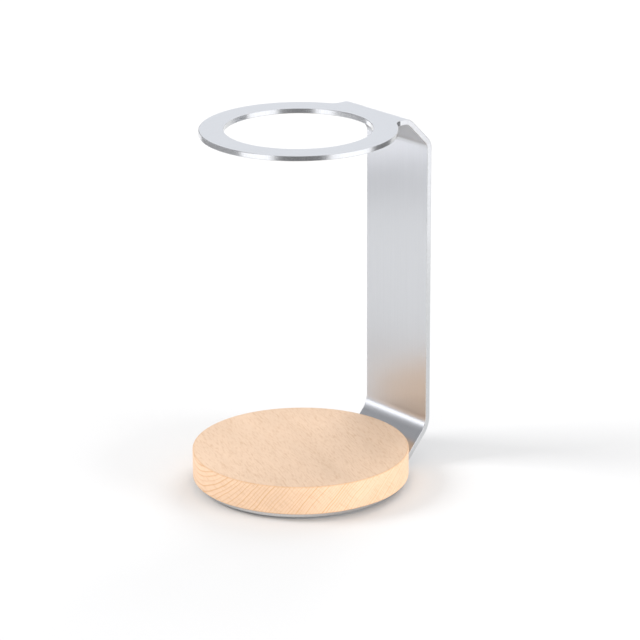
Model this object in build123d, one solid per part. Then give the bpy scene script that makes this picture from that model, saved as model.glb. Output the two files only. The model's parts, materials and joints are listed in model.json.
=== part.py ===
from build123d import *
import os
from math import radians, sqrt, tan

# Pour-over drip stand: one bent steel sheet (ring, strap and base plate) screwed to a beech disc.
# Millimetres. +Z is up and +Y points from the ring towards the strap.
# The origin is the bottom centre of the whole stand's box.

NEARLY_PARALLEL = 0.99      # least cosine between two directions taken as the same

# ---- steel sheet ----
sheet = 2.8                 # thickness
edge_break = 0.3            # rounding along every cut edge
ring_outer_dia = 100.0
ring_hole_dia = 75.0        # takes a dripper's collar
strap_width = 47.0
ring_to_strap = 16.0        # least gap from the ring's rim to the strap's inner face
disc_to_strap = 10.0        # least gap from the disc's rim to the strap's inner face
plate_inset = 3.0           # disc's rim to the plate's rim
ring_neck = 6.4             # level strip behind the ring, before the sheet bends
plate_neck = 1.2            # level strip behind the plate, before the sheet bends
neck_fillet = 6.0           # where the strap's sides run into the ring or the plate
neck_fillet_share = 0.9     # most of the room before the bend that a neck fillet may take

# ---- bends ----
shoulder_angle = 45.0       # slant under the ring, degrees from level
heel_angle = 48.0           # slant above the plate, degrees from level
bend_radius = 5.0           # inside radius of the tight bends
heel_bend_radius = 12.0     # inside radius of the soft bend above the heel

# ---- beech disc ----
disc_dia = 112.0
disc_thickness = 15.0
disc_edge_round = 0.5
clear_height = 168.0        # disc top to ring underside
relief_gap = 0.3            # bevelled back of the disc to where the plate starts to bend

# ---- screws, countersunk from below ----
screw_count = 4
screw_circle_radius = 29.0
screw_length = 12.0
thread_radius = 2.0
core_radius = 1.35
thread_pitch = 1.6
thread_flank = 0.4          # share of the pitch from root to crest
thread_crest = 0.1          # share of the pitch along the crest
shank_radius = 1.9
head_radius = 3.75
head_rim = 0.2              # straight band round the head
head_recess = 0.2           # head face above the plate's underside
screw_clearance = 0.05      # round the head, shank and thread
shank_hole_clearance = 0.25
tip_length = 2.0
recess_span = 4.0           # cross recess, tip to tip
recess_width = 1.0
recess_depth = 1.5
recess_taper = 12.0         # degrees
tip_room = 0.5              # pilot hole past the screw's tip

# ---- feet ----
foot_count = 4
foot_dia = 12.0
foot_height = 1.0
foot_edge_round = 0.3
foot_circle_radius = 41.0

# ---- heights ----
plate_bottom = foot_height
plate_top = plate_bottom + sheet
disc_top = plate_top + disc_thickness
ring_bottom = disc_top + clear_height
ring_top = ring_bottom + sheet

# ---- depths, in a frame with the ring's axis at zero ----
plate_dia = disc_dia - 2 * plate_inset
half_strap = strap_width / 2
strap_reach = max(ring_outer_dia / 2 + ring_to_strap, disc_dia / 2 + disc_to_strap)
strap_back = strap_reach + sheet
ring_y = -(strap_back - disc_dia / 2) / 2      # ring axis in the stand's own frame


def neck_start(disc_radius):
    """Depth at which a disc's rim meets the strap's sides."""
    return sqrt(disc_radius**2 - half_strap**2)


def bend_setback(inner_radius, turn):
    """Length that a bend takes from each of the two outer faces that it joins."""
    return (inner_radius + sheet) * tan(radians(turn) / 2)


def largest_neck_fillet(disc_radius, flat_end):
    """Largest fillet between a disc and the strap's side that ends before the bend."""
    room = flat_end**2 + half_strap**2 - disc_radius**2
    return room / (2 * (disc_radius - half_strap))


# level faces end where the bends begin, and the slants' heights follow from their angles
ring_flat_end = neck_start(ring_outer_dia / 2) + ring_neck
plate_flat_end = neck_start(plate_dia / 2) + plate_neck
shoulder_start = ring_flat_end + bend_setback(bend_radius, shoulder_angle)
heel_start = plate_flat_end + bend_setback(bend_radius, heel_angle)
shoulder = (strap_back - shoulder_start) * tan(radians(shoulder_angle))
heel = (strap_back - heel_start) * tan(radians(heel_angle))


def around(count, radius, first_angle):
    """Points evenly spaced on a circle about the ring's axis."""
    return list(PolarLocations(radius, count, start_angle=first_angle, rotate=False))


def side_profile():
    """The bent sheet seen from the side: outer corners, the same corners one sheet further in."""
    far = max(ring_outer_dia, plate_dia)
    outer = [
        Vector(-far, ring_top),
        Vector(shoulder_start, ring_top),
        Vector(strap_back, ring_top - shoulder),
        Vector(strap_back, plate_bottom + heel),
        Vector(heel_start, plate_bottom),
        Vector(-far, plate_bottom),
    ]
    runs = [(b - a).normalized() for a, b in zip(outer, outer[1:])]
    inward = [Vector(run.Y, -run.X) for run in runs]
    inner = [outer[0] + inward[0] * sheet]
    for corner, before, after in zip(outer[1:-1], inward, inward[1:]):
        inner.append(corner + (before + after) * (sheet / (1 + before.dot(after))))
    inner.append(outer[-1] + inward[-1] * sheet)

    profile = make_face(Polyline(*outer, *reversed(inner), close=True))
    radii = [bend_radius, bend_radius, heel_bend_radius, bend_radius]
    for outside, inside, radius in zip(outer[1:-1], inner[1:-1], radii):
        for corner, corner_radius in ((outside, radius + sheet), (inside, radius)):
            vertex = profile.vertices().sort_by_distance(corner)[0]
            profile = fillet(vertex, corner_radius)
    return Plane.YZ * profile


def plan_outline(disc_radius, flat_end):
    """A round disc with the strap's width running back from it, fillets in the two corners."""
    strap = Pos(0, strap_back / 2) * Rectangle(strap_width, strap_back)
    outline = Circle(disc_radius) + strap
    corner_y = neck_start(disc_radius)
    room = neck_fillet_share * largest_neck_fillet(disc_radius, flat_end)
    radius = min(neck_fillet, room)
    for corner_x in (-half_strap, half_strap):
        vertex = outline.vertices().sort_by_distance((corner_x, corner_y, 0))[0]
        outline = fillet(vertex, radius)
    return outline


def screw_profile(growth):
    """Half section of a screw, head down at the origin, with every surface moved out by growth."""
    head_top = head_rim + head_radius - shank_radius
    thread_start = head_top + thread_pitch
    points = [(0, 0), (head_radius + growth, 0), (head_radius + growth, head_rim)]
    points.append((shank_radius + growth, head_top))
    points.append((shank_radius + growth, thread_start - thread_pitch / 4))
    points.append((core_radius + growth, thread_start))
    turns = int((screw_length - tip_length - thread_start) / thread_pitch)
    for turn in range(turns):
        root = thread_start + turn * thread_pitch
        crest = root + thread_flank * thread_pitch
        crest_end = crest + thread_crest * thread_pitch
        points.append((thread_radius + growth, crest))
        points.append((thread_radius + growth, crest_end))
        points.append((core_radius + growth, crest_end + thread_flank * thread_pitch))
    points.append((core_radius + growth, screw_length - tip_length))
    points.append((growth, screw_length + growth))
    if growth:
        points.append((0, screw_length + growth))
    return Plane.XZ * make_face(Polyline(*points, close=True))


def screw_body(growth=0.0):
    return revolve(screw_profile(growth), Axis.Z)


def cross_recess():
    """Tapered cross that a driver fits, cut up into the head from its face."""
    cross = Rectangle(recess_span, recess_width) + Rectangle(recess_width, recess_span)
    return extrude(cross, amount=recess_depth, taper=recess_taper)


def countersunk_hole():
    """Room for one screw in the plate, from the plate's underside up."""
    wide = head_radius + screw_clearance
    hole_radius = shank_radius + shank_hole_clearance
    cone_start = head_recess + head_rim
    cone_height = wide - hole_radius
    mouth = Cylinder(wide, cone_start, align=(Align.CENTER, Align.CENTER, Align.MIN))
    cone = Cone(wide, hole_radius, cone_height, align=(Align.CENTER, Align.CENTER, Align.MIN))
    through = Cylinder(hole_radius, sheet, align=(Align.CENTER, Align.CENTER, Align.MIN))
    return mouth + Pos(0, 0, cone_start) * cone + through


def steel_frame():
    bent = extrude(side_profile(), amount=disc_dia, both=True)
    middle = (ring_top + plate_bottom) / 2
    ring_plan = plan_outline(ring_outer_dia / 2, ring_flat_end) - Circle(ring_hole_dia / 2)
    plate_plan = plan_outline(plate_dia / 2, plate_flat_end)
    upper = Pos(0, 0, middle) * extrude(ring_plan, amount=middle)
    lower = extrude(plate_plan, amount=middle)
    frame = bent & (upper + lower)

    # edges are broken where a cut wall meets a rolled face, not where two cut walls meet
    wall_edges = [edge for face in frame.faces() if is_cut_wall(face) for edge in face.edges()]
    lone = [edge for edge in wall_edges if sum(edge.is_same(other) for other in wall_edges) == 1]
    frame = fillet(lone, edge_break)

    holes = [Pos(0, 0, plate_bottom) * spot * countersunk_hole() for spot in screw_spots()]
    return frame - holes


def is_cut_wall(face):
    """True for the walls that cutting the flat blank leaves: upright cylinders and the strap's sides."""
    if face.geom_type == GeomType.CYLINDER:
        return abs(face.axis_of_rotation.direction.Z) > NEARLY_PARALLEL
    return abs(face.normal_at().X) > NEARLY_PARALLEL


def screw_spots():
    return around(screw_count, screw_circle_radius, 0)


def foot_spots():
    return around(foot_count, foot_circle_radius, 180 / foot_count)


def screw():
    return Pos(0, 0, plate_bottom + head_recess) * (screw_body() - cross_recess())


def rubber_foot():
    pad = Cylinder(foot_dia / 2, foot_height, align=(Align.CENTER, Align.CENTER, Align.MIN))
    return fillet(pad.edges().group_by(Axis.Z)[0], foot_edge_round)


def beech_disc():
    blank = Cylinder(disc_dia / 2, disc_thickness, align=(Align.CENTER, Align.CENTER, Align.MIN))
    blank = Pos(0, 0, plate_top) * fillet(blank.edges().filter_by(GeomType.CIRCLE), disc_edge_round)

    # the back of the underside is bevelled to clear the rising heel of the sheet
    start = Vector(plate_flat_end - relief_gap, plate_top)
    reach = disc_dia / 2
    bevel_top = start + Vector(reach, reach * tan(radians(heel_angle)))
    wedge = make_face(Polyline(start, bevel_top, Vector(bevel_top.X, plate_top), close=True))
    bevel = extrude(Plane.YZ * wedge, amount=disc_dia, both=True)

    pilot = Pos(0, 0, plate_bottom + head_recess) * screw_body(screw_clearance)
    tip = plate_bottom + head_recess + screw_length
    drill_height = tip + tip_room - plate_top
    drill = Cylinder(core_radius, drill_height, align=(Align.CENTER, Align.CENTER, Align.MIN))
    pilot += Pos(0, 0, plate_top) * drill
    return blank - bevel - [spot * pilot for spot in screw_spots()]


def make_parts():
    parts = {"steel_frame": steel_frame(), "beech_disc": beech_disc()}
    for number, spot in enumerate(screw_spots(), 1):
        parts[f"base_screw_{number}"] = spot * screw()
    for number, spot in enumerate(foot_spots(), 1):
        parts[f"rubber_foot_{number}"] = spot * rubber_foot()
    return parts


os.makedirs("parts", exist_ok=True)
for name, shape in make_parts().items():
    solid = (Pos(0, ring_y, 0) * shape).solid()
    solid.label = name
    export_step(solid, f"parts/{name}.step")
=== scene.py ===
import json
import math

import bpy
from mathutils import Matrix, Vector
from mathutils.geometry import delaunay_2d_cdt


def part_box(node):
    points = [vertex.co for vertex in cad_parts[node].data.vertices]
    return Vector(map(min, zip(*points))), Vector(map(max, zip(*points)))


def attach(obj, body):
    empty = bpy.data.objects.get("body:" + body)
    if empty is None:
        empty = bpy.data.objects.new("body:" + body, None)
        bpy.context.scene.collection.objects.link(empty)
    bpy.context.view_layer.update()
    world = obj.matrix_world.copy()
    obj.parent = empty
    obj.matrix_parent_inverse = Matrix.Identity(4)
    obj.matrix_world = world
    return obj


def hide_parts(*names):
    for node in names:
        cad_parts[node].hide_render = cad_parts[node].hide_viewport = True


bl_info = {
    "name": "Drip stand",
    "version": (1, 0, 0),
    "blender": (4, 5, 0),
    "location": "View3D > Sidebar > Drip stand",
    "description": "A bent steel drip stand on a beech disc, built around its packed model",
    "category": "Object",
}

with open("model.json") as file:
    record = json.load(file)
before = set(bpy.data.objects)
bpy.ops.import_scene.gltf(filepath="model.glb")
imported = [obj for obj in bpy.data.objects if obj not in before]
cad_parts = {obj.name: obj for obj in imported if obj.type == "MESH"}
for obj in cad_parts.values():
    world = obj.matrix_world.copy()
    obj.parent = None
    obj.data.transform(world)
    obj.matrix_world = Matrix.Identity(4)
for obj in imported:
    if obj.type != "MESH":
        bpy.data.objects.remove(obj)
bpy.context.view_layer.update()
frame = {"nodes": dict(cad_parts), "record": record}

MM = 0.001
SHEET_MAP = "Sheet"         # the steel's own map: U and V are lengths on the flat sheet
DISC_LOW, DISC_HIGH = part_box("beech_disc")
STEEL_LOW, STEEL_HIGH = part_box("steel_frame")
FOOT_LOW, FOOT_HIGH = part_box("rubber_foot_1")
DISC_RADIUS = (DISC_HIGH.x - DISC_LOW.x) / 2
AXIS = Vector((0, DISC_LOW.y + DISC_RADIUS, 0))     # the ring and the disc share this upright axis
SEAT = next(mount for mount in frame["record"]["mounts"] if mount["name"] == "dripper_seat")
FOOT_CENTRE = (FOOT_LOW + FOOT_HIGH) / 2 - AXIS


# ---- sizes and colours to change

def length(label, text, default):
    return bpy.props.FloatProperty(name=label, description=text, default=default, min=0, unit="LENGTH",
                                   precision=5)


def angle(label, text, degrees):
    return bpy.props.FloatProperty(name=label, description=text, default=math.radians(degrees),
                                   subtype="ANGLE")


def colour(label, text, default):
    return bpy.props.FloatVectorProperty(name=label, description=text, default=default, size=3,
                                         min=0, subtype="COLOR")


def factor(label, text, default, high=1.0):
    return bpy.props.FloatProperty(name=label, description=text, default=default, min=0, max=high,
                                   subtype="FACTOR")


class SteelSettings(bpy.types.PropertyGroup):
    sheet: length("Sheet", "Thickness of the steel sheet", DISC_LOW.z - STEEL_LOW.z)
    edge_break: length("Edge break", "Rounding along every cut edge", 0.3 * MM)
    ring_radius: length("Ring radius", "Outer radius of the ring", 50 * MM)
    hole_radius: length("Hole radius", "Radius of the ring's hole", SEAT["dims"]["r_mm"] * MM)
    plate_radius: length("Plate radius", "Radius of the base plate", STEEL_HIGH.x)
    strap_width: length("Strap width", "Width of the upright strap", 47 * MM)
    ring_neck: length("Ring neck", "Level strip behind the ring", 6.4 * MM)
    plate_neck: length("Plate neck", "Level strip behind the plate", 1.2 * MM)
    neck_fillet: length("Neck fillet", "Rounding where the strap meets ring or plate", 6 * MM)
    bend_radius: length("Bend radius", "Inside radius of the tight bends", 5 * MM)
    heel_bend_radius: length("Heel bend radius", "Inside radius of the soft bend above the heel",
                             12 * MM)
    shoulder_angle: angle("Shoulder angle", "Slant under the ring, from level", 45)
    heel_angle: angle("Heel angle", "Slant above the plate, from level", 48)
    tone: colour("Steel", "Colour of the brushed faces", (0.652, 0.665, 0.688))
    cut_tone: colour("Cut edges", "Colour of the bright cut edges", (0.63, 0.64, 0.65))
    roughness: factor("Brushing", "Roughness of the brushed faces", 0.30)


class BeechSettings(bpy.types.PropertyGroup):
    pale: colour("Pale wood", "Colour of the face between its flecks", (0.79, 0.583, 0.424))
    end: colour("End grain", "Colour of the rim between its growth lines", (0.86, 0.61, 0.425))
    line: colour("Ring lines", "Colour of the growth lines", (0.64, 0.35, 0.155))
    fleck: colour("Flecks", "Colour of the ray flecks", (0.55, 0.33, 0.18))
    grain_angle: angle("Grain", "Clockwise turn of the grain from the X axis, from above", 21)
    ring_gap: length("Ring gap", "Mean width of one year's growth", 1.4 * MM)
    pith_distance: length("Pith", "From the disc's middle to the middle of the tree", 150 * MM)
    pith_angle: angle("Pith angle", "How far below level the middle of the tree lies", 41)


class FixingSettings(bpy.types.PropertyGroup):
    zinc: colour("Zinc", "Colour of the plated screws", (0.66, 0.68, 0.71))
    silicone: colour("Silicone", "Colour of the feet", (0.045, 0.045, 0.048))
    feet: bpy.props.IntProperty(name="Feet", description="Number of silicone feet", default=4, min=1)
    foot_radius: length("Foot radius", "Radius of one foot", (FOOT_HIGH.x - FOOT_LOW.x) / 2)
    foot_height: length("Foot height", "Height of one foot", FOOT_HIGH.z - FOOT_LOW.z)
    foot_circle: length("Foot circle", "Radius of the circle that the feet stand on",
                        FOOT_CENTRE.xy.length)
    foot_turn: bpy.props.FloatProperty(name="First foot", description="Bearing of the first foot",
                                       default=math.atan2(FOOT_CENTRE.y, FOOT_CENTRE.x), subtype="ANGLE")


class StageSettings(bpy.types.PropertyGroup):
    floor: colour("Floor", "Colour of the floor", (0.80, 0.80, 0.80))
    sky: colour("Light tent", "Colour of the tent, seen and mirrored", (1.085, 1.103, 1.14))
    fill: colour("Fill", "Colour of the soft light from all round", (0.70, 0.70, 0.705))
    box_power: bpy.props.FloatProperty(name="Soft boxes", description="Base power of the soft boxes",
                                       default=18.5, min=0, unit="POWER")
    bearing: angle("Bearing", "Bearing of the camera about the upright axis", -40.209)
    pitch: angle("Pitch", "How far the camera looks down", 19.296)
    roll: angle("Roll", "Turn of the camera about its own line of sight", -0.267)
    distance: length("Distance", "From the camera to the point it looks at", 1.551765)
    aim_height: length("Aim height", "Height of the point the camera looks at", 0.08792)
    aim_side: length("Aim side", "How far right of the axis the camera looks", 0.010338)
    lens: bpy.props.FloatProperty(name="Lens", description="Focal length in mm on a 36 mm sensor",
                                  default=170.9, min=1)


# ---- node helpers

class Nodes:
    """Short ways to add and join the nodes of one tree."""

    def __init__(self, tree):
        self.tree = tree

    def add(self, kind, settings=None, **sockets):
        """A new node. Keyword names are its input names, with _ for a space."""
        node = self.tree.nodes.new(kind)
        for key, value in (settings or {}).items():
            setattr(node, key, value)
        for key, value in sockets.items():
            self.feed(node.inputs[key.replace("_", " ")], value)
        return node

    def feed(self, socket, value):
        if isinstance(value, bpy.types.NodeSocket):
            self.tree.links.new(value, socket)
        else:
            socket.default_value = value

    def math(self, operation, a, b=0.0, c=0.0, clamp=False):
        node = self.add("ShaderNodeMath", {"operation": operation, "use_clamp": clamp})
        for socket, value in zip(node.inputs, (a, b, c)):
            self.feed(socket, value)
        return node.outputs[0]

    def vector(self, operation, a, b=(0, 0, 0)):
        node = self.add("ShaderNodeVectorMath", {"operation": operation})
        self.feed(node.inputs[0], a)
        self.feed(node.inputs[1], b)
        return node.outputs["Value" if operation in ("DOT_PRODUCT", "LENGTH") else "Vector"]

    def scaled(self, vector, scale):
        return self.vector("MULTIPLY", vector, scale)

    def noise(self, vector, detail=2.0, roughness=0.5, scale=1.0):
        return self.add("ShaderNodeTexNoise", Vector=vector, Scale=scale, Detail=detail,
                        Roughness=roughness)

    def rise(self, value, low, high):
        """0 below low, 1 above high, smooth between."""
        node = self.add("ShaderNodeMapRange", {"interpolation_type": "SMOOTHSTEP"}, Value=value)
        node.inputs["From Min"].default_value = low
        node.inputs["From Max"].default_value = high
        return node.outputs[0]

    def ramp(self, value, stops):
        """A ramp through (place, grey) stops."""
        node = self.add("ShaderNodeValToRGB")
        elements = node.color_ramp.elements
        while len(elements) < len(stops):
            elements.new(0.5)
        for element, (place, grey) in zip(elements, stops):
            element.position = place
            element.color = (grey, grey, grey, 1)
        self.feed(node.inputs[0], value)
        return node.outputs[0]

    def blend(self, share, a, b, mode="MIX"):
        """Colour a where share is 0 and b where it is 1."""
        node = self.add("ShaderNodeMix", {"data_type": "RGBA", "blend_type": mode})
        self.feed(node.inputs["Factor"], share)
        self.feed(node.inputs[6], a if isinstance(a, bpy.types.NodeSocket) else (*a, 1))
        self.feed(node.inputs[7], b if isinstance(b, bpy.types.NodeSocket) else (*b, 1))
        return node.outputs[2]

    def mottled(self, tone, pattern, low, high, dark, light):
        """A colour that runs from dark times the tone, where the pattern is low, to light times it."""
        tone = Vector(tone)
        return self.blend(self.rise(pattern, low, high), tone * dark, tone * light)

    def spread(self, pattern, reach, middle):
        """A value that varies about its middle as the pattern varies about a half."""
        return self.math("MULTIPLY_ADD", self.math("SUBTRACT", pattern, 0.5), reach, middle)

    def group(self, tree, **sockets):
        kind = "GeometryNodeGroup" if self.tree.bl_idname == "GeometryNodeTree" else "ShaderNodeGroup"
        node = self.add(kind, {"node_tree": tree})
        for key, value in sockets.items():
            self.feed(node.inputs[key.replace("_", " ")], value)
        return node


def new_tree(name, kind, inputs, outputs):
    """A node tree with named sockets: inputs are (type, name, default), outputs (type, name)."""
    tree = bpy.data.node_groups.new(name, kind)
    for socket_type, label, default in inputs:
        socket = tree.interface.new_socket(label, in_out="INPUT", socket_type="NodeSocket" + socket_type)
        if default is not None:
            socket.default_value = default
    for socket_type, label in outputs:
        tree.interface.new_socket(label, in_out="OUTPUT", socket_type="NodeSocket" + socket_type)
    nodes = Nodes(tree)
    return tree, nodes, nodes.add("NodeGroupInput").outputs, nodes.add("NodeGroupOutput").inputs


def new_material(name):
    material = bpy.data.materials.new(name)
    material.use_nodes = True
    material.node_tree.nodes.clear()
    nodes = Nodes(material.node_tree)
    shader = nodes.add("ShaderNodeBsdfPrincipled")
    nodes.add("ShaderNodeOutputMaterial", Surface=shader.outputs[0])
    return material, nodes, shader


def object_place(nodes):
    return nodes.add("ShaderNodeTexCoord").outputs["Object"]


def sheet_place(nodes):
    """U and V of the steel's own map, in metres."""
    return nodes.add("ShaderNodeUVMap", {"uv_map": SHEET_MAP}).outputs[0]


def stretch_highlights(nodes, shader, amount):
    """Spread a metal's highlights along U, across the scratches or ribs that run along V."""
    along = nodes.add("ShaderNodeTangent", {"direction_type": "UV_MAP", "uv_map": SHEET_MAP})
    shader.inputs["Anisotropic"].default_value = amount
    nodes.feed(shader.inputs["Tangent"], along.outputs[0])


def add_relief(nodes, shader, height, strength, depth):
    bump = nodes.add("ShaderNodeBump", Strength=strength, Distance=depth, Height=height)
    nodes.feed(shader.inputs["Normal"], bump.outputs[0])


# ---- shared shader effects

def brushed_lines_group():
    """Fine scratches and longer streaks that run along V."""
    tree, nodes, given, result = new_tree(
        "Brushed lines", "ShaderNodeTree",
        [("Vector", "Place", None), ("Float", "Scratches per mm", 5.0), ("Float", "Streaks per mm", 0.9)],
        [("Float", "Scratches"), ("Float", "Streaks")])
    for (per_mm, run, detail), socket in zip(((given[1], 90, 3), (given[2], 11, 4)), result):
        across = nodes.math("MULTIPLY", per_mm, 1 / MM)
        scale = nodes.add("ShaderNodeCombineXYZ", X=across, Y=run, Z=run)
        lines = nodes.noise(nodes.scaled(given[0], scale.outputs[0]), detail, 0.6)
        nodes.feed(socket, lines.outputs[0])
    return tree


def handling_group():
    """Slow clouds and small specks, as handling and age leave on a surface."""
    tree, nodes, given, result = new_tree(
        "Handling", "ShaderNodeTree",
        [("Float", "Cloud size", 18 * MM), ("Float", "Speck size", 0.5 * MM)],
        [("Float", "Clouds"), ("Float", "Specks")])
    place = object_place(nodes)
    for size, socket, detail in ((given[0], result[0], 3.0), (given[1], result[1], 2.0)):
        scale = nodes.math("DIVIDE", 1.0, size)
        nodes.feed(socket, nodes.noise(place, detail, 0.55, scale).outputs[0])
    return tree


# ---- finishes

# Patterns are in cells per metre. On a cut wall: along the cut, then up the wall.
CUT_RIBS = (1300, 130, 0)
# In the wood: along the fibres, then the two ways across them.
GRAIN_WANDER = (14, 55, 55)
FIBRES = (70, 2400, 2400)
WOOD_CLOUDS = (16, 60, 60)
# Rays: along the fibres, along the ray, through its thickness.
RAYS = (190, 150, 2300)
FINE_RAYS = (300, 260, 3600)
RAY_TURN = math.radians(45)     # about the fibres, so that rays point nearly at the pith
WANDER_WIDTH = 2.6 * MM
# One year's growth: (share of the year, darkness).
SEASON = [(0.0, 0.15), (0.10, 0.0), (0.66, 0.06), (0.88, 1.0), (0.95, 0.85), (1.0, 0.15)]


def brushed_steel(settings, lines, handling):
    """Rolled face, brushed along the sheet. U runs across the sheet and V along it."""
    material, nodes, shader = new_material("Brushed stainless")
    marks = nodes.group(lines, Place=sheet_place(nodes), Scratches_per_mm=5.0, Streaks_per_mm=0.9)
    worn = nodes.group(handling, Cloud_size=22 * MM, Speck_size=0.6 * MM)
    scratches, streaks = marks.outputs["Scratches"], marks.outputs["Streaks"]
    both = nodes.math("MULTIPLY_ADD", scratches, 0.5, nodes.math("MULTIPLY", streaks, 0.5))
    body = nodes.mottled(settings.tone, both, 0.32, 0.68, dark=0.98, light=1.02)
    nodes.feed(shader.inputs["Base Color"], body)
    shader.inputs["Metallic"].default_value = 1.0
    rough = nodes.spread(streaks, 0.05, settings.roughness)
    nodes.feed(shader.inputs["Roughness"], nodes.spread(worn.outputs["Clouds"], 0.03, rough))
    stretch_highlights(nodes, shader, 0.85)
    add_relief(nodes, shader, scratches, strength=0.03, depth=0.004 * MM)
    return material


def cut_steel(settings, handling):
    """Cut wall, polished bright, with the faint upright ribs that cutting leaves."""
    material, nodes, shader = new_material("Polished cut edge")
    ribs = nodes.noise(nodes.scaled(sheet_place(nodes), CUT_RIBS), 2.0, 0.6).outputs[0]
    worn = nodes.group(handling, Cloud_size=9 * MM, Speck_size=0.4 * MM)
    body = nodes.mottled(settings.cut_tone, ribs, 0.35, 0.65, dark=0.975, light=1.025)
    nodes.feed(shader.inputs["Base Color"], body)
    shader.inputs["Metallic"].default_value = 1.0
    rough = nodes.math("MULTIPLY_ADD", worn.outputs["Clouds"], 0.12, 0.15)
    nodes.feed(shader.inputs["Roughness"], rough)
    stretch_highlights(nodes, shader, 0.5)
    height = nodes.math("MULTIPLY_ADD", worn.outputs["Specks"], 0.5, ribs)
    add_relief(nodes, shader, height, strength=0.12, depth=0.012 * MM)
    return material


def growth_lines(nodes, board, settings):
    """How dark the growth lines are: rings round a pith that lies below and behind the disc."""
    aside, below = direction(settings.pith_angle) * settings.pith_distance
    from_pith = nodes.scaled(nodes.vector("SUBTRACT", board, (0, aside, -below)), (0, 1, 1))
    years = nodes.math("DIVIDE", nodes.vector("LENGTH", from_pith), settings.ring_gap)
    yearly = nodes.add("ShaderNodeCombineXYZ", X=years).outputs[0]
    uneven = nodes.noise(yearly, 2.0, 0.6, 0.31).outputs[0]
    years = nodes.math("MULTIPLY_ADD", uneven, 1.8, years)
    season = nodes.ramp(nodes.math("FRACT", years), SEASON)
    strength = nodes.add("ShaderNodeTexWhiteNoise", {"noise_dimensions": "1D"})
    nodes.feed(strength.inputs["W"], nodes.math("FLOOR", years))
    return nodes.math("MULTIPLY", season, nodes.math("MULTIPLY_ADD", strength.outputs[0], 0.65, 0.35))


def ray_flecks(nodes, board):
    """Where rays show: thin ribbons that stand across the rings, short along the fibres."""
    across = nodes.add("ShaderNodeMapping", Vector=board, Rotation=(RAY_TURN, 0, 0)).outputs[0]
    rays = nodes.noise(nodes.scaled(across, RAYS), 1.0, 0.5).outputs[0]
    fine_rays = nodes.noise(nodes.scaled(across, FINE_RAYS), 1.0, 0.5).outputs[0]
    faint = nodes.math("MULTIPLY", nodes.rise(fine_rays, 0.55, 0.68), 0.7)
    return nodes.math("MAXIMUM", nodes.rise(rays, 0.55, 0.66), faint)


def end_grain_share(nodes):
    """1 on the disc's rim and 0 on its two faces."""
    normal = nodes.add("ShaderNodeNewGeometry").outputs["Normal"]
    upright = nodes.add("ShaderNodeSeparateXYZ", Vector=normal).outputs[2]
    return nodes.math("SUBTRACT", 1.0, nodes.rise(nodes.math("ABSOLUTE", upright), 0.3, 0.9))


def broken_edges(nodes, centred):
    """1 along the two rounded edges of the disc and 0 away from them."""
    out = nodes.vector("LENGTH", nodes.scaled(centred, (1, 1, 0)))
    height = nodes.math("ABSOLUTE", nodes.add("ShaderNodeSeparateXYZ", Vector=centred).outputs[2])
    half = (DISC_HIGH.z - DISC_LOW.z) / 2
    return nodes.math("MULTIPLY", nodes.rise(out, DISC_RADIUS - 1.1 * MM, DISC_RADIUS - 0.2 * MM),
                      nodes.rise(height, half - 0.9 * MM, half - 0.15 * MM))


def beech_wood(settings):
    """Solid beech cut from one board: growth rings, rays and fibres are solid patterns."""
    material, nodes, shader = new_material("Oiled beech")
    middle = AXIS + Vector((0, 0, (DISC_LOW.z + DISC_HIGH.z) / 2))
    centred = nodes.vector("SUBTRACT", object_place(nodes), middle)
    turned = nodes.add("ShaderNodeMapping", Vector=centred,
                       Rotation=(0, 0, settings.grain_angle)).outputs[0]
    wander = nodes.noise(nodes.scaled(turned, GRAIN_WANDER), 3.0, 0.55).outputs["Color"]
    wander = nodes.vector("SUBTRACT", wander, (0.5, 0.5, 0.5))
    board = nodes.vector("ADD", turned, nodes.scaled(wander, (0, WANDER_WIDTH, WANDER_WIDTH)))
    fibres = nodes.noise(nodes.scaled(turned, FIBRES), 3.0, 0.6).outputs[0]
    clouds = nodes.noise(nodes.scaled(turned, WOOD_CLOUDS), 2.0, 0.5).outputs[0]

    # the growth lines are strong on the rim and faint on the faces
    end_grain = end_grain_share(nodes)
    growth = nodes.math("MULTIPLY", growth_lines(nodes, board, settings),
                        nodes.math("MULTIPLY_ADD", end_grain, 0.84, 0.10))
    flecks = nodes.math("MULTIPLY", ray_flecks(nodes, board),
                        nodes.math("MULTIPLY_ADD", end_grain, -0.12, 0.44))

    pale = nodes.blend(end_grain, tuple(settings.pale), tuple(settings.end))
    shade = nodes.blend(nodes.rise(clouds, 0.3, 0.7), (0.935, 0.935, 0.935), (1, 1, 1))
    wood = nodes.blend(1.0, pale, shade, "MULTIPLY")
    wood = nodes.blend(nodes.rise(fibres, 0.3, 0.7), wood, (0.955, 0.945, 0.93), "MULTIPLY")
    wood = nodes.blend(flecks, wood, tuple(settings.fleck))
    wood = nodes.blend(growth, wood, tuple(settings.line))
    # the broken edges take more oil
    oiled = nodes.math("MULTIPLY", broken_edges(nodes, centred), 0.4)
    wood = nodes.blend(oiled, wood, tuple(settings.line))
    nodes.feed(shader.inputs["Base Color"], wood)

    rough = nodes.math("MULTIPLY_ADD", fibres, 0.16, 0.46)
    nodes.feed(shader.inputs["Roughness"], rough)
    shader.inputs["Specular IOR Level"].default_value = 0.3
    relief = nodes.math("MULTIPLY_ADD", flecks, -1.2, nodes.math("MULTIPLY_ADD", growth, -0.5, fibres))
    add_relief(nodes, shader, relief, strength=0.35, depth=0.03 * MM)
    return material


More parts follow.
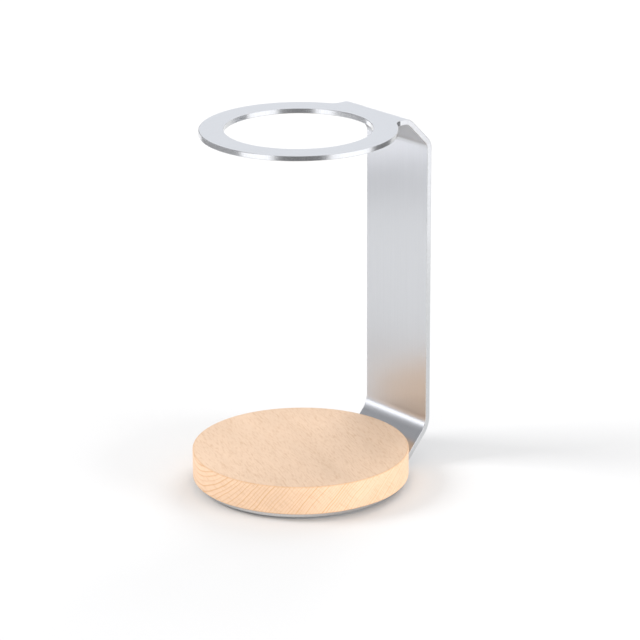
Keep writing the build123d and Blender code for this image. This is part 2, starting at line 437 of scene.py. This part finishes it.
def zinc_plate(settings, handling):
    """Bright plating for the screws, mottled and finely speckled."""
    material, nodes, shader = new_material("Bright zinc plate")
    worn = nodes.group(handling, Cloud_size=2.5 * MM, Speck_size=0.15 * MM)
    body = nodes.mottled(settings.zinc, worn.outputs["Clouds"], 0.3, 0.7, dark=0.9, light=1.08)
    nodes.feed(shader.inputs["Base Color"], body)
    shader.inputs["Metallic"].default_value = 1.0
    nodes.feed(shader.inputs["Roughness"], nodes.math("MULTIPLY_ADD", worn.outputs["Clouds"], 0.2, 0.2))
    add_relief(nodes, shader, worn.outputs["Specks"], strength=0.3, depth=0.01 * MM)
    return material


def silicone_rubber(settings, handling):
    """Matt black rubber for the feet, lightly dusty."""
    material, nodes, shader = new_material("Matt silicone")
    worn = nodes.group(handling, Cloud_size=4 * MM, Speck_size=0.2 * MM)
    body = nodes.mottled(settings.silicone, worn.outputs["Specks"], 0.35, 0.65, dark=0.8, light=1.4)
    nodes.feed(shader.inputs["Base Color"], body)
    nodes.feed(shader.inputs["Roughness"], nodes.math("MULTIPLY_ADD", worn.outputs["Clouds"], 0.2, 0.5))
    add_relief(nodes, shader, worn.outputs["Specks"], strength=0.5, depth=0.02 * MM)
    return material


def floor_paint(settings):
    material, nodes, shader = new_material("Pale floor")
    grain = nodes.noise(object_place(nodes), 2.0, 0.5, 900.0).outputs[0]
    tone = Vector(settings.floor)
    nodes.feed(shader.inputs["Base Color"], nodes.blend(grain, tone * 0.99, tone * 1.01))
    shader.inputs["Roughness"].default_value = 0.9
    shader.inputs["Specular IOR Level"].default_value = 0.0
    return material


# ---- the flat steel blank

HEAD_STEPS = 72                 # round half of the ring or the plate
FILLET_STEPS = 7
FILLET_SHARE = 0.9              # most of the room before a bend that a neck fillet may take
EDGE_STEPS = 4                  # in the rounding of a cut edge
BEND_STEP = math.radians(4)     # most that a bend turns between two rows of points
RING_HOLE_STEPS = 144
SCREW_HOLE_STEPS = 32
SCREW_BORE = 2.15 * MM          # radius of the hole round a screw's shank
SCREW_CLEARANCE = 0.05 * MM     # round a screw's head
SCREW_HEAD_RIM = 0.2 * MM       # straight band round a screw's head


def direction(bearing):
    return Vector((math.cos(bearing), math.sin(bearing)))


class Bend:
    """One fold of the sheet: where it starts along the flat blank, its inside radius and its turn."""

    def __init__(self, start, radius, turn, sheet):
        self.start = start
        self.radius = radius
        self.turn = turn
        self.length = turn * (radius + sheet / 2)
        self.end = start + self.length

    def turned(self, along):
        share = min(max((along - self.start) / self.length, 0), 1)
        return share * self.turn


class Blank:
    """Sizes of the flat blank, worked out from the settings. The plate's middle is at along = 0."""

    def __init__(self, sizes):
        self.sizes = sizes
        self.half = sizes.strap_width / 2
        self.top = STEEL_HIGH.z - STEEL_LOW.z
        back = STEEL_HIGH.y - AXIS.y
        plate_end = math.sqrt(sizes.plate_radius**2 - self.half**2) + sizes.plate_neck
        ring_end = math.sqrt(sizes.ring_radius**2 - self.half**2) + sizes.ring_neck
        heel_turn, shoulder_turn = sizes.heel_angle, sizes.shoulder_angle
        upper_heel_turn = math.pi / 2 - heel_turn
        upper_shoulder_turn = math.pi / 2 - shoulder_turn
        heel_run = back - plate_end - self.setback(sizes.bend_radius, heel_turn)
        shoulder_run = back - ring_end - self.setback(sizes.bend_radius, shoulder_turn)
        upright = self.top - heel_run * math.tan(heel_turn) - shoulder_run * math.tan(shoulder_turn)

        self.bends = []
        self.fold(plate_end, sizes.bend_radius, heel_turn)
        self.fold(heel_run / math.cos(heel_turn), sizes.heel_bend_radius, upper_heel_turn)
        self.fold(upright, sizes.bend_radius, upper_shoulder_turn)
        self.fold(shoulder_run / math.cos(shoulder_turn), sizes.bend_radius, shoulder_turn)
        self.ring_centre = self.bends[-1].end + ring_end
        self.plate_flat_end = plate_end
        self.ring_flat_end = ring_end

    def setback(self, radius, turn):
        """Length that a bend takes from each of the two outer faces that it joins."""
        return (radius + self.sizes.sheet) * math.tan(turn / 2)

    def fold(self, run, radius, turn):
        """Add a bend. The first starts after its run, and later runs are between outer corners."""
        start = run
        if self.bends:
            last = self.bends[-1]
            start = last.end + run - self.setback(last.radius, last.turn) - self.setback(radius, turn)
        self.bends.append(Bend(start, radius, turn, self.sizes.sheet))

    def fillet(self, rim, flat_end):
        """Radius of the fillet between a round rim and the strap's side, ending before the bend."""
        room = flat_end**2 + self.half**2 - rim**2
        return min(self.sizes.neck_fillet, FILLET_SHARE * room / (2 * (rim - self.half)))

    def head(self, rim, flat_end):
        """Half outline of a round head, from its far point to the strap's side, as (point, outward)."""
        radius = self.fillet(rim, flat_end)
        centre = Vector((self.half + radius, 0))
        centre.y = math.sqrt((rim + radius)**2 - centre.x**2)
        meeting = math.atan2(centre.y, centre.x)
        outline = []
        for step in range(HEAD_STEPS + 1):
            outward = direction(-math.pi / 2 + (meeting + math.pi / 2) * step / HEAD_STEPS)
            outline.append((outward * rim, outward))
        for step in range(1, FILLET_STEPS + 1):
            outward = direction(meeting * (1 - step / FILLET_STEPS))
            outline.append((centre - outward * radius, outward))
        return outline

    def outline(self):
        """The whole outline, anticlockwise, and the pairs of its points that face across each bend."""
        right = self.head(self.sizes.plate_radius, self.plate_flat_end)
        rows = []
        for bend in self.bends:
            steps = math.ceil(bend.turn / BEND_STEP)
            for step in range(steps + 1):
                along = bend.start + bend.length * step / steps
                rows.append(len(right))
                right.append((Vector((self.half, along)), Vector((1, 0))))
        ring = self.head(self.sizes.ring_radius, self.ring_flat_end)
        for point, outward in reversed(ring):
            right.append((Vector((point.x, self.ring_centre - point.y)), Vector((outward.x, -outward.y))))
        flip = Vector((-1, 1))
        left = [(point * flip, outward * flip) for point, outward in reversed(right[1:-1])]
        last = 2 * len(right) - 2
        return right + left, [(row, last - row) for row in rows]

    def turned(self, along):
        return sum(bend.turned(along) for bend in self.bends)


def hole(centre, radius, steps):
    """A hole's outline, clockwise, with the directions that point out of the steel."""
    around = [direction(-math.tau * step / steps) for step in range(steps)]
    return [(centre + spoke * radius, -spoke) for spoke in around]


class Shell:
    """A closed mesh under construction: points with their own normals, and faces."""

    def __init__(self):
        self.points = []
        self.normals = []
        self.faces = []
        self.places = []
        self.cut = []

    def add_wall(self, outline, profile):
        """Walls round an outline. The profile lists (outward, height, normal's lean), bottom first.

        A wall's U is the distance along the outline and its V is the height.
        """
        first = len(self.points)
        size = len(profile)
        for point, outward in outline:
            for out, height, lean in profile:
                self.points.append(Vector((*(point + outward * out), height)))
                self.normals.append(Vector((*(outward * math.cos(lean)), math.sin(lean))))
        count = len(outline)
        run = 0.0
        for step in range(count):
            here = first + step * size
            there = first + (step + 1) % count * size
            ahead = run + (outline[(step + 1) % count][0] - outline[step][0]).length
            for level in range(size - 1):
                low, high = profile[level][1], profile[level + 1][1]
                self.add_face([here + level, there + level, there + level + 1, here + level + 1],
                              [(run, low), (ahead, low), (ahead, high), (run, high)], True)
            run = ahead
        bottom = [first + step * size for step in range(count)]
        return bottom, [index + size - 1 for index in bottom]

    def add_face(self, corners, places, cut):
        self.faces.append(corners)
        self.places += places
        self.cut.append(cut)

    def add_flat(self, loops, rows, upwards):
        """Triangles between an outline and its holes, split along the rows. U and V are X and Y."""
        ends = [index for loop in loops for index in loop]
        place = {index: spot for spot, index in enumerate(ends)}
        flat = [Vector(self.points[index][:2]) / MM for index in ends]
        sides = [(place[a], place[b]) for loop in loops for a, b in zip(loop, loop[1:] + loop[:1])]
        across = [(place[a], place[b]) for a, b in rows]
        triangles = delaunay_2d_cdt(flat, sides + across, [], 0, 1e-6)
        origins = [given[0] for given in triangles[3]]
        for triangle in triangles[2]:
            middle = sum((triangles[0][corner] for corner in triangle), Vector((0, 0))) / 3
            if is_inside(middle, flat, sides):
                corners = [ends[origins[corner]] for corner in triangle]
                corners = corners if upwards else corners[::-1]
                self.add_face(corners, [self.points[corner].xy for corner in corners], False)

    def mesh(self, name):
        mesh = bpy.data.meshes.new(name)
        mesh.from_pydata(self.points, [], self.faces)
        mesh.shade_smooth()
        return mesh


def is_inside(spot, points, sides):
    """True if a line from the spot crosses the sides an odd number of times."""
    crossings = 0
    for a, b in sides:
        low, high = points[a], points[b]
        if (low.y > spot.y) != (high.y > spot.y):
            reach = low.x + (high.x - low.x) * (spot.y - low.y) / (high.y - low.y)
            crossings += reach > spot.x
    return crossings % 2 == 1


def round_edges(thickness, radius):
    """Wall profile with both edges rounded, from the bottom face to the top face."""
    bottom = []
    for step in range(EDGE_STEPS + 1):
        lean = -math.pi / 2 * (1 - step / EDGE_STEPS)
        bottom.append((radius * (math.cos(lean) - 1), radius * (1 + math.sin(lean)), lean))
    return bottom + [(out, thickness - height, -lean) for out, height, lean in reversed(bottom)]


def countersink(node, thickness):
    """Outline and wall profile of the hole for one screw, from the plate's underside up."""
    low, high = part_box(node)
    middle = (low + high) / 2 - AXIS
    mouth = (high.x - low.x) / 2 + SCREW_CLEARANCE
    straight = low.z - STEEL_LOW.z + SCREW_HEAD_RIM
    widening = SCREW_BORE - mouth
    profile = [(widening, 0, -math.pi / 2), (widening, straight, 0),
               (0, straight - widening, 0), (0, thickness, math.pi / 2)]
    return hole(middle.xy, SCREW_BORE, SCREW_HOLE_STEPS), profile


def screw_nodes():
    return sorted(name for name in frame["nodes"] if name.startswith("base_screw_"))


def flat_blank(blank):
    """The flat sheet as a closed mesh, with its points' flat places and normals."""
    sizes = blank.sizes
    shell = Shell()
    edge = round_edges(sizes.sheet, sizes.edge_break)
    outline, rows = blank.outline()
    walls = [shell.add_wall(outline, edge)]
    ring_hole = hole(Vector((0, blank.ring_centre)), sizes.hole_radius, RING_HOLE_STEPS)
    walls.append(shell.add_wall(ring_hole, edge))
    for node in screw_nodes():
        walls.append(shell.add_wall(*countersink(node, sizes.sheet)))
    for side, upwards in ((0, False), (1, True)):
        loops = [wall[side] for wall in walls]
        shell.add_flat(loops, [(loops[0][a], loops[0][b]) for a, b in rows], upwards)
    mesh = shell.mesh("steel_blank")
    mesh.attributes.new("cut_edge", "BOOLEAN", "FACE").data.foreach_set("value", shell.cut)
    layer = mesh.uv_layers.new(name=SHEET_MAP)
    layer.uv.foreach_set("vector", [value for place in shell.places for value in place])
    return mesh, shell


def bend_group():
    """Folds the sheet about one line. Everything past the bend turns with it."""
    tree, nodes, given, result = new_tree(
        "Bend", "GeometryNodeTree",
        [("Geometry", "Sheet", None), ("Float", "Along", 0.0), ("Float", "Start", 0.0),
         ("Float", "Turn", 0.0), ("Float", "Inside radius", 0.0), ("Float", "Thickness", 0.0)],
        [("Geometry", "Sheet")])
    sheet, along, start, turn, radius, thickness = given[:6]
    middle_radius = nodes.math("MULTIPLY_ADD", thickness, 0.5, radius)
    arc = nodes.math("MULTIPLY", turn, middle_radius)
    past = nodes.math("MINIMUM", nodes.math("MAXIMUM", nodes.math("SUBTRACT", along, start), 0.0), arc)
    slide = nodes.add("ShaderNodeCombineXYZ", Y=past).outputs[0]
    place = nodes.add("GeometryNodeInputPosition").outputs[0]
    height = nodes.math("ADD", radius, thickness)
    centre = nodes.add("ShaderNodeCombineXYZ", Y=start, Z=height).outputs[0]
    share = nodes.math("DIVIDE", past, arc)
    folded = nodes.add("ShaderNodeVectorRotate", {"rotation_type": "X_AXIS"},
                       Vector=nodes.vector("SUBTRACT", place, slide), Center=centre,
                       Angle=nodes.math("MULTIPLY", share, turn)).outputs[0]
    moved = nodes.add("GeometryNodeSetPosition", Geometry=sheet, Position=folded)
    nodes.feed(result[0], moved.outputs[0])
    return tree


def folding_tree(count):
    """Folds a flat blank at each of its bends, the far ones first, and gives it its finishes."""
    sizes = [("Float", f"Bend {number} {size}", 0.0)
             for number in range(1, count + 1) for size in ("start", "turn", "inside radius")]
    tree, nodes, given, result = new_tree(
        "Folded sheet", "GeometryNodeTree",
        [("Geometry", "Blank", None), ("Float", "Thickness", 0.0), ("Vector", "Place", None),
         ("Material", "Face", None), ("Material", "Cut edge", None)] + sizes,
        [("Geometry", "Sheet")])
    bend = bend_group()
    flat = nodes.add("GeometryNodeCaptureAttribute", Geometry=given["Blank"])
    flat.capture_items.new("FLOAT", "Along")
    place = nodes.add("GeometryNodeInputPosition").outputs[0]
    nodes.feed(flat.inputs["Along"], nodes.add("ShaderNodeSeparateXYZ", Vector=place).outputs[1])
    sheet = flat.outputs["Geometry"]
    for number in range(count, 0, -1):
        sheet = nodes.group(
            bend, Sheet=sheet, Along=flat.outputs["Along"], Start=given[f"Bend {number} start"],
            Turn=given[f"Bend {number} turn"], Inside_radius=given[f"Bend {number} inside radius"],
            Thickness=given["Thickness"]).outputs[0]
    sheet = nodes.add("GeometryNodeSetPosition", Geometry=sheet, Offset=given["Place"]).outputs[0]
    sheet = nodes.add("GeometryNodeRealizeInstances", Geometry=sheet).outputs[0]
    sheet = nodes.add("GeometryNodeSetMaterial", Geometry=sheet, Material=given["Face"]).outputs[0]
    cut = nodes.add("GeometryNodeInputNamedAttribute", {"data_type": "BOOLEAN"}, Name="cut_edge")
    sheet = nodes.add("GeometryNodeSetMaterial", Geometry=sheet, Selection=cut.outputs[0],
                      Material=given["Cut edge"]).outputs[0]
    nodes.feed(result[0], sheet)
    return tree


# ---- pieces

def new_piece(name, mesh):
    piece = bpy.data.objects.new(name, mesh)
    bpy.context.scene.collection.objects.link(piece)
    return piece


def grow(piece, tree, values):
    """Run a geometry tree on a piece with named values, and keep the result as its plain mesh."""
    modifier = piece.modifiers.new(tree.name, "NODES")
    modifier.node_group = tree
    for item in tree.interface.items_tree:
        if item.in_out == "INPUT" and item.name in values:
            modifier[item.identifier] = values[item.name]
    graph = bpy.context.evaluated_depsgraph_get()
    mesh = bpy.data.meshes.new_from_object(piece.evaluated_get(graph), preserve_all_data_layers=True,
                                           depsgraph=graph)
    piece.modifiers.remove(modifier)
    piece.data = mesh
    mesh.name = piece.name
    return mesh


def shared(name, make):
    return bpy.data.node_groups.get(name) or make()


def dress(node, material):
    """Give a CAD node's object a finish in place of its plain one."""
    data = frame["nodes"][node].data
    if not data.materials:
        data.materials.append(material)
    for slot in range(len(data.materials)):
        data.materials[slot] = material


def make_steel_stand(sizes):
    blank = Blank(sizes)
    mesh, shell = flat_blank(blank)
    piece = new_piece("bent_steel_stand", mesh)
    handling = shared("Handling", handling_group)
    values = {
        "Thickness": sizes.sheet,
        "Place": (AXIS.x, AXIS.y, STEEL_LOW.z),
        "Face": brushed_steel(sizes, shared("Brushed lines", brushed_lines_group), handling),
        "Cut edge": cut_steel(sizes, handling),
    }
    for number, bend in enumerate(blank.bends, 1):
        values[f"Bend {number} start"] = bend.start
        values[f"Bend {number} turn"] = bend.turn
        values[f"Bend {number} inside radius"] = bend.radius
    mesh = grow(piece, folding_tree(len(blank.bends)), values)
    normals = [Matrix.Rotation(blank.turned(point.y), 3, "X") @ normal
               for point, normal in zip(shell.points, shell.normals)]
    mesh.normals_split_custom_set_from_vertices(normals)
    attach(piece, "root")
    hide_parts("steel_frame")


# Foot, from the middle of its underside round to the middle of its top: shares of radius and height.
FOOT_PROFILE = [
    (0.0, 0.14), (0.55, 0.13), (0.68, 0.08), (0.76, 0.01), (0.84, 0.0), (0.91, 0.02),
    (0.96, 0.10), (0.99, 0.24), (1.0, 0.40), (1.0, 0.9), (0.985, 1.0), (0.0, 1.0),
]
FOOT_STEPS = 40


def foot_mesh(sizes):
    """One foot, turned from its profile: a soft lip round a shallow hollow, under a flat top."""
    high, radius = sizes.foot_height, sizes.foot_radius
    steps = FOOT_STEPS
    points = []
    for share, rise in FOOT_PROFILE[1:-1]:
        for step in range(steps):
            spoke = direction(math.tau * step / steps) * radius * share
            points.append((*spoke, high * rise))
    count = len(points)
    points += [(0, 0, high * FOOT_PROFILE[0][1]), (0, 0, high)]
    faces = []
    for step in range(steps):
        after = (step + 1) % steps
        for row in range(len(FOOT_PROFILE) - 3):
            below, above = row * steps, (row + 1) * steps
            faces.append((below + step, below + after, above + after, above + step))
        faces.append((count, after, step))
        faces.append((count + 1, count - steps + step, count - steps + after))
    mesh = bpy.data.meshes.new("foot")
    mesh.from_pydata(points, [], faces)
    mesh.shade_smooth()
    return mesh


def round_table_tree():
    """Sets copies of a shape on a circle."""
    tree, nodes, given, result = new_tree(
        "Copies on a circle", "GeometryNodeTree",
        [("Geometry", "Shape", None), ("Int", "Count", 4), ("Float", "Circle radius", 0.0),
         ("Float", "First angle", 0.0), ("Vector", "Place", None), ("Material", "Finish", None)],
        [("Geometry", "Copies")])
    circle = nodes.add("GeometryNodeMeshCircle", Vertices=given["Count"], Radius=given["Circle radius"])
    turn = nodes.add("ShaderNodeCombineXYZ", Z=given["First angle"]).outputs[0]
    spots = nodes.add("GeometryNodeTransform", Geometry=circle.outputs[0], Translation=given["Place"],
                      Rotation=turn)
    copies = nodes.add("GeometryNodeInstanceOnPoints", Points=spots.outputs[0], Instance=given["Shape"])
    real = nodes.add("GeometryNodeRealizeInstances", Geometry=copies.outputs[0])
    done = nodes.add("GeometryNodeSetMaterial", Geometry=real.outputs[0], Material=given["Finish"])
    nodes.feed(result[0], done.outputs[0])
    return tree


def make_feet(sizes):
    piece = new_piece("silicone_feet", foot_mesh(sizes))
    grow(piece, round_table_tree(), {
        "Count": sizes.feet,
        "Circle radius": sizes.foot_circle,
        "First angle": sizes.foot_turn,
        "Place": (AXIS.x, AXIS.y, FOOT_LOW.z),
        "Finish": silicone_rubber(sizes, shared("Handling", handling_group)),
    })
    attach(piece, "root")
    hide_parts(*sorted(name for name in frame["nodes"] if name.startswith("rubber_foot_")))


# ---- stage

# Painted reflections for the steel to mirror: glowing upright strips round the axis, seen only in
# reflections.
# Each has a name, its first and last bearing in degrees from the camera towards the right, its radius,
# its lowest and highest edge in metres, and its brightness. The dim ones paint the room's reflection and
# the bright ones paint highlights of lit panels.
PANELS = [
    ("lens_side", -25, 32, 0.45, 0.0, 0.30, 0.26),
    ("right_panel", 34, 88, 0.45, 0.0, 0.30, 1.65),
    ("right_room", 90, 126, 0.45, 0.0, 0.30, 0.24),
    ("left_panel", -57, -27, 0.45, 0.0, 0.30, 1.65),
    ("left_room_low", -150, -58, 0.45, 0.0, 0.022, 0.0),
    ("left_strip", -150, -58, 0.45, 0.022, 0.168, 1.9),
    ("left_room", -165, -50, 0.45, 0.168, 0.75, 0.34),
    ("left_screen", -140, -62, 0.25, 0.104, 0.15, 0.42),
]
# Painted shade, seen only in reflections: a dim patch just above the floor behind the stand, so the steel
# mirrors that floor as shaded. Bearings, nearest and farthest radius, brightness.
BACK_SHADE = (-178, -140, 0.14, 0.40, 0.30)
BACK_SHADE_LIFT = 1 * MM
PANEL_STEPS = 16
COOLNESS = 1.03             # how much more blue than red a panel gives
FLOOR_RADIUS = 6
FLOOR_STEPS = 64
SENSOR_WIDTH = 36


def bearing_direction(stage, degrees):
    """Unit vector on the floor, 0 towards the camera and 90 to the camera's right."""
    return direction(stage.bearing + math.radians(degrees)).to_3d()


def glow(name, brightness):
    material = bpy.data.materials.new(name)
    material.use_nodes = True
    material.node_tree.nodes.clear()
    nodes = Nodes(material.node_tree)
    light = nodes.add("ShaderNodeEmission", Color=(brightness, brightness, brightness * COOLNESS, 1))
    nodes.add("ShaderNodeOutputMaterial", Surface=light.outputs[0])
    return material


def make_panel(name, pairs, brightness):
    """A glowing strip between pairs of points, seen only in reflections: a painted reflection."""
    points = [point for pair in pairs for point in pair]
    faces = [(2 * i, 2 * i + 2, 2 * i + 3, 2 * i + 1) for i in range(len(pairs) - 1)]
    mesh = bpy.data.meshes.new(name)
    mesh.from_pydata(points, [], faces)
    mesh.materials.append(glow(name, brightness))
    panel = new_piece(name, mesh)
    panel.visible_camera = False
    panel.visible_diffuse = False
    panel.visible_shadow = False
    panel.visible_transmission = False


def spokes_between(stage, first, last):
    """Directions from the axis, from one bearing to another in even steps."""
    return [bearing_direction(stage, first + (last - first) * step / PANEL_STEPS)
            for step in range(PANEL_STEPS + 1)]


def make_panels(stage):
    # painted reflections: each strip glows but is seen only in the steel
    for name, first, last, radius, low, high, brightness in PANELS:
        foot = [AXIS + spoke * radius for spoke in spokes_between(stage, first, last)]
        pairs = [(spot + Vector((0, 0, low)), spot + Vector((0, 0, high))) for spot in foot]
        make_panel(name, pairs, brightness)
    # painted shade on the floor behind the stand, seen only in the steel
    first, last, near, far, brightness = BACK_SHADE
    middle = AXIS + Vector((0, 0, BACK_SHADE_LIFT))
    spokes = spokes_between(stage, first, last)
    make_panel("back_shade", [(middle + spoke * near, middle + spoke * far) for spoke in spokes],
               brightness)


def make_camera(stage):
    look = Vector((*(-direction(stage.bearing) * math.cos(stage.pitch)), -math.sin(stage.pitch)))
    right = look.cross(Vector((0, 0, 1))).normalized()
    up = right.cross(look)
    turned_right = right * math.cos(stage.roll) + up * math.sin(stage.roll)
    turned_up = up * math.cos(stage.roll) - right * math.sin(stage.roll)
    aim = AXIS + Vector((0, 0, stage.aim_height)) + right * stage.aim_side
    data = bpy.data.cameras.new("camera")
    data.sensor_width = SENSOR_WIDTH
    data.lens = stage.lens
    camera = bpy.data.objects.new("camera", data)
    turn = Matrix((turned_right, turned_up, -look)).transposed().to_4x4()
    camera.matrix_world = Matrix.Translation(aim - look * stage.distance) @ turn
    bpy.context.scene.collection.objects.link(camera)
    bpy.context.scene.camera = camera


# Soft boxes: name, bearing and lift in degrees, distance, width and height in metres, and how many
# times the set power each one gives.
SOFT_BOXES = [
    ("key", 62, 12, 2.6, 1.6, 0.8, 2.4),
    ("front_fill", -20, 10, 2.6, 1.6, 0.8, 0.7),
    ("left_box", -92, 36, 2.6, 1.1, 1.1, 1.75),
    ("right_back_box", 152, 34, 2.6, 1.3, 1.3, 1.2),
]


def make_lights(stage):
    world = bpy.data.worlds.new("Light tent")
    world.use_nodes = True
    bpy.context.scene.world = world
    nodes = Nodes(world.node_tree)
    mirrored = nodes.add("ShaderNodeLightPath").outputs["Is Glossy Ray"]
    seen = nodes.add("ShaderNodeLightPath").outputs["Is Camera Ray"]
    tent = nodes.blend(nodes.math("MAXIMUM", mirrored, seen), tuple(stage.fill), tuple(stage.sky))
    nodes.feed(world.node_tree.nodes["Background"].inputs[0], tent)
    for name, bearing, lift, distance, width, height, times in SOFT_BOXES:
        light = bpy.data.lights.new(name, "AREA")
        light.shape = "RECTANGLE"
        light.size = width
        light.size_y = height
        light.energy = stage.box_power * times
        lamp = bpy.data.objects.new(name, light)
        lift = math.radians(lift)
        place = bearing_direction(stage, bearing) * math.cos(lift) + Vector((0, 0, math.sin(lift)))
        lamp.location = AXIS + place * distance
        lamp.rotation_euler = (-place).to_track_quat("-Z", "Y").to_euler()
        lamp.visible_glossy = False
        bpy.context.scene.collection.objects.link(lamp)


def make_floor(stage):
    spokes = [direction(math.tau * step / FLOOR_STEPS).to_3d() for step in range(FLOOR_STEPS)]
    rim = [AXIS + spoke * FLOOR_RADIUS for spoke in spokes]
    mesh = bpy.data.meshes.new("floor")
    mesh.from_pydata(rim, [], [list(range(FLOOR_STEPS))])
    mesh.materials.append(floor_paint(stage))
    new_piece("floor", mesh)


# ---- operators and panel

class SteelStandOperator(bpy.types.Operator):
    """Fold the steel sheet into ring, strap and base plate"""
    bl_idname = "drip_stand.steel_stand"
    bl_label = "Bent steel stand"

    def execute(self, context):
        make_steel_stand(context.scene.drip_stand_steel)
        return {"FINISHED"}


class BeechDiscOperator(bpy.types.Operator):
    """Finish the beech disc with solid grain"""
    bl_idname = "drip_stand.beech_disc"
    bl_label = "Beech disc"

    def execute(self, context):
        dress("beech_disc", beech_wood(context.scene.drip_stand_beech))
        return {"FINISHED"}


class ScrewsOperator(bpy.types.Operator):
    """Plate the screws that hold the disc"""
    bl_idname = "drip_stand.screws"
    bl_label = "Screws"

    def execute(self, context):
        zinc = zinc_plate(context.scene.drip_stand_fixings, shared("Handling", handling_group))
        for node in screw_nodes():
            dress(node, zinc)
        return {"FINISHED"}


class FeetOperator(bpy.types.Operator):
    """Mould the silicone feet and set them on their circle"""
    bl_idname = "drip_stand.feet"
    bl_label = "Silicone feet"

    def execute(self, context):
        make_feet(context.scene.drip_stand_fixings)
        return {"FINISHED"}


class StageOperator(bpy.types.Operator):
    """Set up the pale floor, the soft light and the camera"""
    bl_idname = "drip_stand.stage"
    bl_label = "Stage"

    def execute(self, context):
        stage = context.scene.drip_stand_stage
        context.scene.view_settings.view_transform = "Standard"
        make_floor(stage)
        make_lights(stage)
        make_panels(stage)
        make_camera(stage)
        return {"FINISHED"}


SETTINGS = {
    "drip_stand_steel": SteelSettings,
    "drip_stand_beech": BeechSettings,
    "drip_stand_fixings": FixingSettings,
    "drip_stand_stage": StageSettings,
}
OPERATORS = [SteelStandOperator, BeechDiscOperator, ScrewsOperator, FeetOperator, StageOperator]


class DripStandPanel(bpy.types.Panel):
    bl_idname = "VIEW3D_PT_drip_stand"
    bl_label = "Drip stand"
    bl_space_type = "VIEW_3D"
    bl_region_type = "UI"
    bl_category = "Drip stand"

    def draw(self, context):
        for operator in OPERATORS:
            self.layout.operator(operator.bl_idname)
        for group in SETTINGS:
            box = self.layout.box()
            settings = getattr(context.scene, group)
            for name in settings.__annotations__:
                box.prop(settings, name)


def register():
    for name, group in SETTINGS.items():
        bpy.utils.register_class(group)
        setattr(bpy.types.Scene, name, bpy.props.PointerProperty(type=group))
    for entry in (*OPERATORS, DripStandPanel):
        bpy.utils.register_class(entry)


def unregister():
    for entry in (DripStandPanel, *reversed(OPERATORS)):
        bpy.utils.unregister_class(entry)
    for name, group in reversed(SETTINGS.items()):
        delattr(bpy.types.Scene, name)
        bpy.utils.unregister_class(group)


def main():
    register()
    bpy.ops.drip_stand.steel_stand()
    bpy.ops.drip_stand.beech_disc()
    bpy.ops.drip_stand.screws()
    bpy.ops.drip_stand.feet()
    bpy.ops.drip_stand.stage()


if __name__ == "__main__":
    main()
